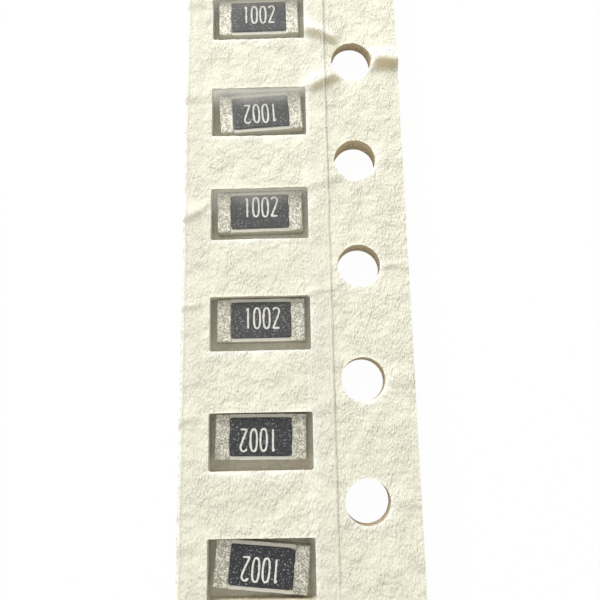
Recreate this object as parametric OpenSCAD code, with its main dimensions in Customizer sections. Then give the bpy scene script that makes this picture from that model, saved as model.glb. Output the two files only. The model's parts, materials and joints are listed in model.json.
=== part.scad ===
// Cut strip of punched paper carrier tape that holds one thick-film chip
// resistor in each pocket, under a clear heat-sealed cover film.
// The origin is at the middle of the strip, on the surface that it lies on.
// +X points to the edge with the sprocket holes, +Y runs along the tape and
// +Z is up. All sizes are in millimetres.

/* [Strip] */
// Number of pockets, with one chip in each
pocket_count = 6; // [2:1:11]
// Distance from one pocket to the next, and from one sprocket hole to the next
pitch = 4; // [3.2:0.1:8]

/* [Carrier tape] */
// Width of the carrier tape
tape_w = 8; // [8:0.1:12]
// Distance from the sprocket edge to the middle of the sprocket holes
hole_edge = 1.75; // [1.55:0.01:1.82]
// Diameter of a sprocket hole
hole_d = 1.5; // [1:0.05:1.6]
// Distance across the tape from the sprocket holes to the pockets
hole_to_pocket = 3.5; // [3.4:0.01:3.57]
// Radius of the corners of a pocket
pocket_corner_r = 0.07; // [0.05:0.01:0.14]
// Room between the top of a chip and the cover film
headroom = 0.19; // [0.05:0.01:0.5]

/* [Cover film] */
// Width of the cover film
film_w = 5.2; // [4.9:0.05:5.3]
// Thickness of the cover film
film_t = 0.06; // [0.04:0.01:0.1]
// Sideways error of the film from the row of pockets
film_shift = -0.07; // [-0.1:0.01:0.1]
// Width of a heat-sealed rail
seal_w = 0.68; // [0.3:0.01:0.8]
// Depth to which a rail is pressed into the paper
seal_depth = 0.025; // [0.01:0.005:0.05]
// Width of the sloping side of a rail
seal_slope = 0.06; // [0.02:0.01:0.12]
// Mean distance from the edges of the film to the rails
seal_margin = 0.135; // [0.125:0.005:0.2]
// Sideways error of the two rails from the middle of the film
seal_shift = -0.105; // [-0.12:0.005:0.12]

/* [Bottom tape] */
// Width of the bottom tape
bottom_w = 5.2; // [4.4:0.05:5.3]
// Thickness of the bottom tape
bottom_t = 0.06; // [0.04:0.01:0.12]

/* [Chip] */
// Length of a chip, across the tape
chip_l = 3.1; // [2.6:0.05:3.3]
// Width of a chip, along the tape
chip_w = 1.52; // [1.2:0.01:1.8]
// Thickness of the ceramic plate
substrate_t = 0.47; // [0.3:0.01:0.6]
// Width of the bevel that the scribed line leaves along the plate's long edges
scribe_bevel = 0.05; // [0.02:0.01:0.1]
// Free length that a pocket has beyond the chip
play_l = 0.4; // [0.3:0.01:0.5]
// Free width that a pocket has beyond the chip
play_w = 0.38; // [0.3:0.01:0.45]

/* [Terminations] */
// Length of a termination on top of the chip
land_top = 0.5; // [0.3:0.01:0.6]
// Length of a termination under the chip
land_bottom = 0.5; // [0.3:0.01:0.7]
// Thickness of the metal wrap
wrap_t = 0.04; // [0.02:0.005:0.06]
// Radius of the wrap's outer corners
wrap_corner_r = 0.06; // [0.02:0.01:0.1]

/* [Resistive element] */
// Width of the printed element
element_w = 1.08; // [0.7:0.01:1.1]
// Thickness of the printed element
element_t = 0.015; // [0.01:0.005:0.03]
// Width of the laser-trimmed cut in the element
trim_kerf = 0.05; // [0.03:0.01:0.1]
// Depth of the trimmed cut from the element's side
trim_plunge = 0.45; // [0.2:0.01:0.6]
// Length of the trimmed cut along the element
trim_run = 0.5; // [0.2:0.01:0.9]
// Distance from the middle of the element to where the cut starts
trim_start = 0.55; // [0.3:0.01:0.65]

/* [Overcoat] */
// Width of the bare ceramic along each long edge of the chip
bare_edge = 0.12; // [0.05:0.005:0.15]
// Thickness of the overcoat at its middle
overcoat_t = 0.05; // [0.04:0.005:0.08]
// Amount by which the overcoat is thinner along its long edges
overcoat_crown = 0.015; // [0.005:0.005:0.02]
// Radius of the corners of the overcoat
overcoat_corner_r = 0.08; // [0.03:0.01:0.15]

/* [Hidden] */
$fn = 48;
// How far a cutting shape reaches past the face that it cuts.
cut_over = 0.5;
// Flat steps that make up each half of the overcoat's crown.
CROWN_STEPS = 4;

// How each chip has settled in its pocket, as shares of the free room:
// [across the tape, along the tape, turn, 1 if it lies end for end].
CHIP_LAY = [
    [0, 0.85, 0.09, 0],
    [0.35, 0.95, 0.48, 1],
    [0, 0.88, 0.11, 0],
    [0.1, 0.8, 0, 0],
    [-0.05, 0.9, -0.09, 1],
    [0, 0.9, -0.78, 1]
];

strip_l = pocket_count * pitch;
hole_x = tape_w / 2 - hole_edge;
pocket_x = hole_x - hole_to_pocket;
pocket_l = chip_l + play_l;
pocket_w = chip_w + play_w;

chip_body_h = substrate_t + 2 * wrap_t;
chip_top = wrap_t + substrate_t + overcoat_t;
overcoat_l = chip_l - 2 * land_top;
overcoat_w = chip_w - 2 * bare_edge;

paper_t = max(chip_top, chip_body_h) + headroom;
paper_top = bottom_t + paper_t;

film_x = pocket_x + film_shift;
rail_offset = film_w / 2 - seal_margin - seal_w / 2;
RAILS = [film_x + seal_shift - rail_offset, film_x + seal_shift + rail_offset];

// The largest turn at which a chip still clears all four walls of its pocket.
turn_limit = min(asin(play_w / chip_l), asin(play_l / chip_w));

CHIP_PARTS = ["substrate", "resistive_element", "overcoat", "termination_left", "termination_right"];
function chip_node(i, part) = str("chip_", i, "_", part);

function pocket_y(i) = strip_l / 2 - pitch * (i - 0.5);
function lay(i) = CHIP_LAY[(i - 1) % len(CHIP_LAY)];
function turn(i) = lay(i)[2] * turn_limit;

// Free room on each side of a chip that is turned by an angle, across and along the tape.
function room_across(angle) = (pocket_l - chip_l * cos(angle) - chip_w * sin(abs(angle))) / 2;
function room_along(angle) = (pocket_w - chip_w * cos(angle) - chip_l * sin(abs(angle))) / 2;

// The film's section line: flat, with a shallow dip at each rail.
function rail_dip(x, z) = [
    [x - seal_w / 2, z],
    [x - seal_w / 2 + seal_slope, z - seal_depth],
    [x + seal_w / 2 - seal_slope, z - seal_depth],
    [x + seal_w / 2, z]
];
function film_line(z) = concat(
    [[film_x - film_w / 2, z]],
    rail_dip(RAILS[0], z),
    rail_dip(RAILS[1], z),
    [[film_x + film_w / 2, z]]
);
function reversed(list) = [for (i = [len(list) - 1:-1:0]) list[i]];

// Extrudes a section in X and Z along the tape, centred on Y = 0.
module along_tape(length) {
    rotate([90, 0, 0]) linear_extrude(length, center = true) children();
}

// Extrudes a section in Y and Z along a chip, centred on X = 0.
module along_chip(length) {
    rotate([90, 0, 90]) linear_extrude(length, center = true) children();
}

// Rectangle with true round corners, centred on the origin.
module rounded_rectangle(length, width, corner_r) {
    square([length - 2 * corner_r, width], center = true);
    square([length, width - 2 * corner_r], center = true);
    for (x = [-1, 1], y = [-1, 1])
        translate([x * (length / 2 - corner_r), y * (width / 2 - corner_r)]) circle(r = corner_r);
}

module sprocket_holes() {
    for (i = [0:pocket_count])
        translate([hole_x, strip_l / 2 - i * pitch, bottom_t - cut_over])
            cylinder(h = paper_t + 2 * cut_over, d = hole_d);
}

module pockets() {
    for (i = [1:pocket_count])
        translate([pocket_x, pocket_y(i), bottom_t - cut_over])
            linear_extrude(paper_t + 2 * cut_over)
                rounded_rectangle(pocket_l, pocket_w, pocket_corner_r);
}

module rail_grooves() {
    for (x = RAILS)
        along_tape(strip_l + 2 * cut_over)
            polygon(concat(
                rail_dip(x, paper_top),
                [[x + seal_w / 2, paper_top + cut_over], [x - seal_w / 2, paper_top + cut_over]]
            ));
}

// Punched paper, cut straight through the sprocket holes at both ends.
module carrier_tape() {
    color([0.95, 0.94, 0.88])
        difference() {
            translate([-tape_w / 2, -strip_l / 2, bottom_t]) cube([tape_w, strip_l, paper_t]);
            sprocket_holes();
            pockets();
            rail_grooves();
        }
}

// Thin tape under the paper, which closes the pockets.
module bottom_tape() {
    color([0.72, 0.68, 0.62])
        translate([pocket_x - bottom_w / 2, -strip_l / 2, 0]) cube([bottom_w, strip_l, bottom_t]);
}

// Clear film, pressed into the paper along its two rails.
module cover_tape() {
    color([0.85, 0.9, 0.95, 0.35])
        along_tape(strip_l)
            polygon(concat(film_line(paper_top), reversed(film_line(paper_top + film_t))));
}

// The chip's own pieces stand on Z = 0 and are centred on X = 0 and Y = 0.
module substrate() {
    half_w = chip_w / 2;
    low = wrap_t;
    high = wrap_t + substrate_t;
    color([0.93, 0.93, 0.9])
        along_chip(chip_l - 2 * wrap_t)
            polygon([
                [-half_w + scribe_bevel, low],
                [half_w - scribe_bevel, low],
                [half_w, low + scribe_bevel],
                [half_w, high],
                [-half_w, high],
                [-half_w, low + scribe_bevel]
            ]);
}

// Printed film between the terminations, with an L-shaped trimmed cut.
module resistive_element() {
    color([0.2, 0.2, 0.2])
        translate([0, 0, wrap_t + substrate_t])
            linear_extrude(element_t)
                difference() {
                    square([overcoat_l, element_w], center = true);
                    translate([trim_start - trim_kerf, element_w / 2 - trim_plunge])
                        square([trim_kerf, trim_plunge + cut_over]);
                    translate([trim_start - trim_run, element_w / 2 - trim_plunge])
                        square([trim_run, trim_kerf]);
                }
}

// Height of the overcoat's top over its edge, at a share of its half width from the middle.
function crown_rise(share) = overcoat_crown * (1 - pow(share, 2));

// Dark coat over the element, a little thicker along its middle.
module overcoat() {
    half_w = overcoat_w / 2;
    base = wrap_t + substrate_t;
    edge_top = base + overcoat_t - overcoat_crown;
    color([0.27, 0.27, 0.29])
        difference() {
            intersection() {
                translate([0, 0, base])
                    linear_extrude(overcoat_t)
                        rounded_rectangle(overcoat_l, overcoat_w, overcoat_corner_r);
                along_chip(overcoat_l)
                    polygon(concat(
                        [for (k = [-CROWN_STEPS:CROWN_STEPS])
                            [half_w * k / CROWN_STEPS, edge_top + crown_rise(k / CROWN_STEPS)]],
                        [[half_w, base], [-half_w, base]]
                    ));
            }
            resistive_element();
        }
}

// Metal wrap over the top, the end and the underside of the plate, on the +X end.
module termination() {
    end_x = chip_l / 2;
    color([0.78, 0.78, 0.74])
        along_tape(chip_w)
            difference() {
                union() {
                    translate([end_x - land_bottom, 0])
                        square([land_bottom - wrap_corner_r, chip_body_h / 2]);
                    translate([end_x - land_top, chip_body_h / 2])
                        square([land_top - wrap_corner_r, chip_body_h / 2]);
                    translate([end_x - wrap_corner_r, wrap_corner_r])
                        square([wrap_corner_r, chip_body_h - 2 * wrap_corner_r]);
                    for (z = [wrap_corner_r, chip_body_h - wrap_corner_r])
                        translate([end_x - wrap_corner_r, z]) circle(r = wrap_corner_r);
                }
                translate([0, wrap_t]) square([end_x - wrap_t, substrate_t]);
            }
}

// Sets a chip's piece on the bottom tape, as that chip lies in its pocket.
module in_pocket(i) {
    angle = turn(i);
    translate([
        pocket_x + lay(i)[0] * room_across(angle),
        pocket_y(i) + lay(i)[1] * room_along(angle),
        bottom_t
    ])
        rotate([0, 0, angle + 180 * lay(i)[3]]) children();
}

carrier_tape();
bottom_tape();
cover_tape();
for (i = [1:pocket_count]) {
    in_pocket(i) substrate();
    in_pocket(i) resistive_element();
    in_pocket(i) overcoat();
    in_pocket(i) mirror([1, 0, 0]) termination();
    in_pocket(i) termination();
}
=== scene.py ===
import json
import math
from functools import partial

import bpy
import numpy as np
from mathutils import Matrix, Vector


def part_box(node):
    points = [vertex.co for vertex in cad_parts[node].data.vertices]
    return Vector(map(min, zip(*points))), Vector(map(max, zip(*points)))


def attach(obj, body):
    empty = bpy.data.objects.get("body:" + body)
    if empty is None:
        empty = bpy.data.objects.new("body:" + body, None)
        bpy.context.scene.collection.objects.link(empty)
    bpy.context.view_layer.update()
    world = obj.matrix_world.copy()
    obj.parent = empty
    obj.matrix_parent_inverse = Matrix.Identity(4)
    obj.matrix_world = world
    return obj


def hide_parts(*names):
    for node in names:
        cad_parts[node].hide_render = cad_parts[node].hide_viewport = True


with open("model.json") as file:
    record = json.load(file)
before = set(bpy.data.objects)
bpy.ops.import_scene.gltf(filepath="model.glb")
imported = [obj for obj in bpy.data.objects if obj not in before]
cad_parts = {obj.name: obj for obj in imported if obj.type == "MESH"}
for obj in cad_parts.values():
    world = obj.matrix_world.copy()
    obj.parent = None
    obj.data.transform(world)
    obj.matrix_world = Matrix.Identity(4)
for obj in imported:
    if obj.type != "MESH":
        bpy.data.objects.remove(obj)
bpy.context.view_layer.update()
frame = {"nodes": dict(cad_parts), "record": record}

bl_info = {
    "name": "Component carrier tape strip",
    "version": (1, 0, 0),
    "blender": (4, 5, 0),
    "location": "3D View > Sidebar > Carrier tape",
    "description": "Builds a cut strip of punched paper tape with chip resistors under a cover film",
    "category": "Add Mesh",
}

# All shapes are worked out in millimetres and put into the meshes in metres.
MM = 0.001
# Edges steeper than this many degrees are shaded sharp.
SHARP_ANGLE = 50
CHIP_NUMBER = "1002"
WHITE = (1, 1, 1, 1)


def linear(hex_colour):
    """An sRGB hex colour as linear red, green, blue and an alpha of 1."""
    parts = [int(hex_colour[i : i + 2], 16) / 255 for i in (0, 2, 4)]
    parts = [p / 12.92 if p <= 0.04045 else ((p + 0.055) / 1.055) ** 2.4 for p in parts]
    return (*parts, 1.0)


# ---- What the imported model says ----


def node_box(node):
    """Lowest and highest corner of a CAD node, in millimetres."""
    low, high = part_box(node)
    return np.array(low) / MM, np.array(high) / MM


def sprocket_holes():
    """The sprocket holes' place across the tape, their places along it and their radius, in mm.

    The record gives the whole holes, and one pitch beyond them lie the two that the ends are cut
    through.
    """
    bores = [m for m in frame["record"]["mounts"] if m["name"].startswith("sprocket_hole")]
    spots = sorted((m["pos_m"][1] / MM for m in bores), reverse=True)
    pitch = spots[0] - spots[1]
    spots = [spots[0] + pitch, *spots, spots[-1] - pitch]
    return bores[0]["pos_m"][0] / MM, np.array(spots), bores[0]["dims"]["r_mm"]


PAPER_LOW, PAPER_HIGH = node_box("carrier_tape")
FILM_LOW, FILM_HIGH = node_box("cover_tape")
UNDER_LOW, UNDER_HIGH = node_box("bottom_tape")
HOLE_X, HOLE_Y, HOLE_R = sprocket_holes()
CHIP_COUNT = len(HOLE_Y) - 1


def chip_seat(number):
    """Where a chip lies: the middle (x, y) between its terminations and its turn about Z."""
    left_low, left_high = node_box(f"chip_{number}_termination_left")
    right_low, right_high = node_box(f"chip_{number}_termination_right")
    left = (left_low + left_high) / 2
    right = (right_low + right_high) / 2
    along = right - left
    return (left + right)[:2] / 2, math.atan2(along[1], along[0])


# ---- Sizes and colours that a user would change ----


def length(name, description, millimetres):
    """A length property with its default given in millimetres."""
    return bpy.props.FloatProperty(
        name=name,
        description=description,
        default=millimetres * MM,
        min=0.0,
        unit="LENGTH",
        precision=6,
    )


def colour(name, description, hex_colour):
    """A colour property with its default given as an sRGB hex value."""
    return bpy.props.FloatVectorProperty(
        name=name,
        description=description,
        default=linear(hex_colour),
        size=4,
        min=0.0,
        max=1.0,
        subtype="COLOR",
    )


class TapeSizes(bpy.types.PropertyGroup):
    """Sizes of the paper, the bottom tape and the cover film."""

    mesh_cell: length("Mesh cell", "Size of a cell of the paper's mesh", 0.0667)
    hole_to_pocket: length("Hole to pocket", "Across the tape from holes to pockets", 3.5)
    pocket_length: length("Pocket length", "Size of a pocket across the tape", 3.5)
    pocket_width: length("Pocket width", "Size of a pocket along the tape", 1.9)
    pocket_corner: length("Pocket corner", "Radius of the corners of a pocket", 0.07)
    rail_width: length("Rail width", "Width of a heat-sealed rail", 0.68)
    rail_depth: length("Rail depth", "Depth that a rail is pressed into the paper", 0.015)
    rail_spacing: length("Rail spacing", "Distance between the middles of the two rails", 4.25)
    rail_shift: length("Rail shift", "Rails' offset from the middle of the film", 0.105)
    rim_lean: length("Rim lean", "How far the punch presses a rim down or up", 0.035)
    fold_height: length("Fold height", "Height of the highest fold that the feeder left", 0.31)
    grain_height: length("Grain height", "Height of the paper's fibre relief", 0.003)
    film_cell: length("Film cell", "Size of a cell of the film's mesh", 0.075)


class ChipSizes(bpy.types.PropertyGroup):
    """Sizes of one chip resistor."""

    chip_length: length("Length", "Length of a chip over its terminations", 3.1)
    chip_width: length("Width", "Width of a chip", 1.52)
    plate_thickness: length("Plate thickness", "Thickness of the ceramic plate", 0.47)
    plating: length("Plating", "Thickness of the metal round an end", 0.04)
    plating_round: length("Plating rounding", "Radius of the metal's outer corners", 0.06)
    land_top: length("Land on top", "Length of a termination on top", 0.5)
    land_under: length("Land underneath", "Length of a termination underneath", 0.5)
    bare_edge: length("Bare edge", "Bare ceramic beside the overcoat", 0.12)
    coat_edge: length("Coat at its edge", "Thickness of the overcoat at its edge", 0.035)
    coat_crown: length("Coat crown", "Extra thickness at the overcoat's middle", 0.015)
    coat_corner: length("Coat corner", "Radius of the overcoat's corners", 0.08)
    digit_height: length("Digit height", "Height of the printed digits", 0.72)
    digit_pitch: length("Digit pitch", "Distance from one digit to the next", 0.335)
    digit_stroke: length("Digit stroke", "Width of a printed stroke", 0.067)
    ink_thickness: length("Ink thickness", "Thickness of the printed ink", 0.006)


class Finishes(bpy.types.PropertyGroup):
    """Colours of the materials."""

    board: colour("Board", "Bleached face of the paperboard", "F0EEDB")
    # Painted highlight on rims, beside the rail by the holes and on the folds' far slopes.
    board_highlight: colour("Polished board", "Rims, rail side and folds that tools have polished", "FFFEF4")
    board_cut: colour("Cut board", "Punched and slit edges of the paperboard", "E0D0B0")
    # Painted shade on the near slopes of the folds, which face away from the lamp.
    board_fold_shade: colour("Bruised board", "Paperboard where a fold has bruised it", "CDC09A")
    under_paper: colour("Bottom tape", "Thin kraft paper of the bottom tape", "E6E2D5")
    # Real cloudiness along the rails, and the tone of the painted highlight lines beside the film's edges
    # and of the painted glare.
    film_haze_and_highlight: colour("Film haze", "Cloudy places in the film", "F2F2EA")
    # Painted shade along the film's right slit edge.
    film_edge_shade: colour("Film edge", "Slit edge of the film", "8E8D82")
    ceramic: colour("Ceramic", "Sintered alumina", "D0CEC1")
    overcoat: colour("Overcoat", "Blue-black epoxy coat", "232429")
    overcoat_dust: colour("Overcoat specks", "Filler grains in the coat", "A2A4A8")
    tin: colour("Tin", "Matte tin plating", "F0EEE0")
    ink: colour("Ink", "White epoxy ink of the marking", "E8E7E0")
    element: colour("Element", "Fired ruthenium oxide paste", "26241F")
    floor: colour("Floor", "Matte table top", "F4F4F2")


class StageSettings(bpy.types.PropertyGroup):
    """Light and camera."""

    sky_level: bpy.props.FloatProperty(
        name="Sky level", description="Strength of the even light from all round", default=0.79
    )
    lamp_power: bpy.props.FloatProperty(
        name="Lamp power", description="Power of the soft lamp", default=0.108, unit="POWER"
    )
    lamp_size: length("Lamp size", "Side of the soft lamp", 60.0)
    lens: bpy.props.FloatProperty(
        name="Lens", description="Focal length of the camera in millimetres", default=37.2
    )


def mm(value):
    """A length property's value in millimetres."""
    return value / MM


# ---- Meshes from arrays ----


def add_piece(name, points, faces, material, marks=None):
    """One object from points in millimetres and a list of face arrays.

    Each face array holds one face per row. marks maps a name to one number for each point, which
    the material reads as an attribute.
    """
    old = bpy.data.objects.get(name)
    if old:
        bpy.data.objects.remove(old)
    corners = np.concatenate([f.ravel() for f in faces]).astype(np.int32)
    counts = np.concatenate([np.full(len(f), f.shape[1]) for f in faces])
    starts = np.concatenate([[0], np.cumsum(counts)[:-1]]).astype(np.int32)
    mesh = bpy.data.meshes.new(name)
    mesh.vertices.add(len(points))
    mesh.vertices.foreach_set("co", (np.asarray(points) * MM).astype(np.float32).ravel())
    mesh.loops.add(len(corners))
    mesh.loops.foreach_set("vertex_index", corners)
    mesh.polygons.add(len(counts))
    mesh.polygons.foreach_set("loop_start", starts)
    mesh.polygons.foreach_set("use_smooth", np.ones(len(counts), dtype=bool))
    mesh.update(calc_edges=True)
    mesh.validate()
    mesh.set_sharp_from_angle(angle=math.radians(SHARP_ANGLE))
    for mark, values in (marks or {}).items():
        layer = mesh.attributes.new(mark, "FLOAT", "POINT")
        layer.data.foreach_set("value", np.asarray(values, dtype=np.float32))
    mesh.materials.append(material)
    piece = bpy.data.objects.new(name, mesh)
    bpy.context.scene.collection.objects.link(piece)
    return piece


def dress(piece, slot, *nodes):
    """The piece rides on the strip and stands for the CAD nodes. Its slot argument is not used."""
    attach(piece, "root")
    if nodes:
        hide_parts(*nodes)


def as_points(x, y, z):
    """Points as rows, from three arrays of one shape."""
    return np.stack([x, y, z], axis=-1).reshape(-1, 3)


def grid_faces(rows, columns, start=0, closed=False):
    """Quads of a grid whose points run along each row first. closed joins the last column back."""
    across = columns if closed else columns - 1
    row, column = np.meshgrid(np.arange(rows - 1), np.arange(across), indexing="ij")
    a = start + row * columns + column
    b = start + row * columns + (column + 1) % columns
    return np.stack([a, b, b + columns, a + columns], axis=-1).reshape(-1, 4)


def tube_faces(rows, columns, start=0):
    """Faces of a closed section carried along its rows. Each end is closed by quads that join the
    section's first half to its second half."""
    step = np.arange(columns // 2 - 1)
    cap = start + np.stack([columns - 1 - step, columns - 2 - step, step + 1, step], axis=-1)
    return [grid_faces(rows, columns, start, closed=True), cap, cap[:, ::-1] + (rows - 1) * columns]


def ripple(x, y, size, seed, lean=0.0, stretch=1.0, waves=26):
    """Cloudy relief of unit strength.

    It is a sum of plane waves with seeded directions and phases, whose wavelengths spread round
    size, and it is drawn out by stretch along a line that leans from Y by lean radians.
    """
    draw = np.random.default_rng(seed)
    u = (x * math.cos(lean) + y * math.sin(lean)) / size
    v = (y * math.cos(lean) - x * math.sin(lean)) / (size * stretch)
    turn = draw.uniform(0, 2 * math.pi, waves)
    rate = 2 * math.pi * draw.uniform(0.6, 1.5, waves)
    phase = draw.uniform(0, 2 * math.pi, waves)
    total = np.zeros(np.broadcast(x, y).shape)
    for t, r, p in zip(turn, rate, phase):
        total += np.sin(r * (u * math.cos(t) + v * math.sin(t)) + p)
    return total * math.sqrt(2 / waves)


def smooth_step(value, low, high):
    """0 below low, 1 above high, and an S curve between them."""
    share = np.clip((value - low) / (high - low), 0, 1)
    return share * share * (3 - 2 * share)


def edge_round(distance, radius):
    """Share of the full thickness at a distance from an edge: a quarter circle of the radius."""
    return np.sqrt(1 - (1 - np.clip(distance / radius, 0, 1)) ** 2)


def reach_along(across, along):
    """Distance from the first point of a path to each of its points, by its straight steps."""
    steps = np.hypot(np.diff(across), np.diff(along))
    return np.concatenate([[0], np.cumsum(steps)])


def lines_between(stops, cell):
    """Grid lines that pass through every stop, with cells of about one size between them."""
    spans = [
        np.linspace(a, b, max(1, round((b - a) / cell)), endpoint=False)
        for a, b in zip(stops[:-1], stops[1:])
    ]
    return np.concatenate([*spans, [stops[-1]]])


def thin_shell(x_lines, y_lines, top, under):
    """Closed shell between two height functions of (x, y) on one grid, with its four edges."""
    x, y = np.meshgrid(x_lines, y_lines)
    rows, columns = x.shape
    upper = as_points(x, y, top(x, y))
    lower = as_points(x, y, under(x, y))
    count = len(upper)
    face = grid_faces(rows, columns)
    ring = np.concatenate(
        [
            np.arange(columns - 1),
            np.arange(rows - 1) * columns + columns - 1,
            (rows * columns - 1) - np.arange(columns - 1),
            np.arange(rows - 1, 0, -1) * columns,
        ]
    )
    after = np.roll(ring, -1)
    wall = np.stack([ring, ring + count, after + count, after], axis=-1)
    return np.concatenate([upper, lower]), [face, face[:, ::-1] + count, wall]


# ---- The tape's relief ----

# A fold runs from the sprocket edge through a hole and along the far side of a pocket to the
# other edge. These are its places across the tape, and how far it then lies from the hole's middle.
FOLD_X = (-4.0, -3.0, 0.4, 0.9, 1.35, 1.8, 3.1, 4.0)
FOLD_DROP = (-1.38, -1.24, -1.03, -0.9, -0.75, -0.52, -0.02, -0.08)
# Widths of the widest fold's far slope, and of its near slope by the pockets and by the edge.
FAR_SLOPE = 0.6
NEAR_SLOPE = (0.26, 0.38)
# How far a fold's crest wanders from its line.
FOLD_WANDER = 0.03

# For each fold: the number of its hole, its share of the fold height at the sprocket edge, beside
# the hole and on the pocket side, how much further down the tape its far end lies, its width
# beside the widest one's, and how far it whitens the film over the pocket, which is partly real
# and partly painted glare.
FOLDS = (
    (0, 0.12, 0.12, 0.1, 0.0, 1.0, 0.1),
    (1, 1.0, 0.62, 0.1, 0.0, 1.0, 0.27),
    (2, 0.24, 0.2, 0.14, -0.75, 0.7, 0.12),
    (3, 0.22, 0.1, 0.1, 0.0, 0.24, 0.0),
    (4, 0.18, 0.08, 0.07, 0.1, 0.6, 0.0),
    (5, 0.16, 0.06, 0.05, 0.0, 0.5, 0.0),
)

# The share of a fold's height that reaches the paper's underside and the bottom tape's two faces.
FOLD_UNDER_PAPER = 0.7
FOLD_ON_BOTTOM = 0.68
FOLD_UNDER_BOTTOM = 0.66


def ridge(beyond, far, near):
    """Section of a fold, 1 at its crest: a bell that fades over far on one side, and a slightly
    hollow slope that ends after near on the other. The crest is rounded."""
    crest = 0.05
    hollow = 0.25
    slope = np.clip(1 - (np.sqrt(beyond**2 + crest**2) - crest) / near, 0, 1)
    foot = slope - hollow * slope * (1 - slope) ** 2
    return np.where(beyond > 0, np.exp(-((beyond / far) ** 2)), foot)


def folds_at(x, y):
    """For each fold: the distance beyond its crest, the widths of its far and near slopes, its
    share of the fold height, and how far it whitens the film, partly for real and partly as
    painted glare."""
    for hole, sprocket_side, beside, pocket_side, far_drop, wide, whitening_and_glare in FOLDS:
        drop = np.interp(x, FOLD_X, FOLD_DROP) + far_drop * smooth_step(-x, 2.4, 4.0)
        wander = FOLD_WANDER * ripple(x, 0 * y, 1.3, 40 + hole)
        # Each fold stands up again beyond the pocket, at the sealed edge.
        heights = (2.5 * pocket_side, pocket_side, pocket_side, beside, beside, sprocket_side)
        share = np.interp(x, (-3.6, -3.0, 0.3, 0.85, 1.7, 2.6), heights)
        near = wide * np.interp(x, (0.9, 2.2), NEAR_SLOPE)
        yield y - (HOLE_Y[hole] + drop + wander), FAR_SLOPE * wide, near, share, whitening_and_glare
    # One short fold runs from the corner of the first pocket to the first whole hole.
    past_hole = np.interp(x, (0.4, 1.0, 1.5, 2.1), (1.45, 1.28, 1.0, 0.75))
    span = smooth_step(x, 0.35, 0.6) * smooth_step(-x, -2.0, -1.5)
    height, far = 0.6, 0.4
    yield y - HOLE_Y[1] - past_hole, far, NEAR_SLOPE[0], height * span, 0.0


def rims_flat(x, y):
    """0 at the rim of a sprocket hole, which stays nearly flat, and 1 away from it."""
    total = np.ones(x.shape)
    for middle in HOLE_Y:
        total *= smooth_step(np.hypot(x - HOLE_X, y - middle) - HOLE_R, -0.12, 0.22)
    return total


def fold_relief(x, y, height):
    """Height of the folds that the feeder left, one at each hole, added up."""
    total = sum(share * ridge(beyond, far, near) for beyond, far, near, share, _ in folds_at(x, y))
    return height * total * rims_flat(x, y)


def fold_slope_light(x, y, far_side):
    """How much painted light falls on one slope of the folds: the far slopes, which face the lamp, take
    a painted highlight and the near slopes painted shade. It is a flat-topped bell in a slope's
    middle, which is weaker on a lower fold and absent on a low one."""
    unmarked, marked = 0.12, 0.85
    total = np.zeros(x.shape)
    for beyond, far, near, share, _ in folds_at(x, y):
        middle = 0.5 * far if far_side else -0.5 * near
        bell = np.exp(-(((beyond - middle) / middle) ** 4))
        total += smooth_step(share, unmarked, marked) * bell
    return total


def rail_places(tape):
    """Middles across the tape of the two heat-sealed rails."""
    middle = (FILM_LOW[0] + FILM_HIGH[0]) / 2 - mm(tape.rail_shift)
    half = mm(tape.rail_spacing) / 2
    return middle - half, middle + half


def rail_share(x, tape):
    """1 inside a rail, 0 outside and a steep slope at each side of it."""
    slope = 0.06
    half = mm(tape.rail_width) / 2
    share = np.zeros(x.shape)
    for middle in rail_places(tape):
        share = np.maximum(share, smooth_step(half - np.abs(x - middle), 0.0, slope))
    return share


def face_relief(x, y, tape):
    """Height of the paper's upper face over its mean: folds, slow waves, fibres and rails."""
    wave_height = 0.01
    fibres = ripple(x, y, 0.5, 3) + 0.8 * ripple(x, y, 0.25, 4, lean=-0.35, stretch=2.2)
    rails = rail_share(x, tape)
    waves = wave_height * ripple(x, y, 3.5, 5)
    pressed = mm(tape.rail_depth) * rails * (1 + 0.12 * ripple(x, y, 0.6, 6))
    grain = mm(tape.grain_height) * fibres * (1 - 0.6 * rails)
    return fold_relief(x, y, mm(tape.fold_height)) + waves + grain - pressed


# ---- Punched carrier ----


def cutout_distance(x, y, tape):
    """Distance to the nearest pocket or sprocket hole, positive in the paper.

    A pocket is a rounded box: the length of the part of (|x|, |y|) outside its inner box, less
    its corner radius. A hole is the distance to its middle less its radius.
    """
    corner = mm(tape.pocket_corner)
    half = np.array([mm(tape.pocket_length), mm(tape.pocket_width)]) / 2 - corner
    best = np.full(x.shape, 1e3)
    for middle in HOLE_Y:
        best = np.minimum(best, np.hypot(x - HOLE_X, y - middle) - HOLE_R)
    for middle in (HOLE_Y[:-1] + HOLE_Y[1:]) / 2:
        dx = np.abs(x - HOLE_X + mm(tape.hole_to_pocket)) - half[0]
        dy = np.abs(y - middle) - half[1]
        outside = np.hypot(np.maximum(dx, 0), np.maximum(dy, 0))
        best = np.minimum(best, outside + np.minimum(np.maximum(dx, dy), 0) - corner)
    return best


def slope_of(distance, x, y, step=0.004):
    """Unit direction in which a distance function grows, by differences over a small step."""
    across = distance(x + step, y) - distance(x - step, y)
    along = distance(x, y + step) - distance(x, y - step)
    size = np.maximum(np.hypot(across, along), 1e-9)
    return across / size, along / size


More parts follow.
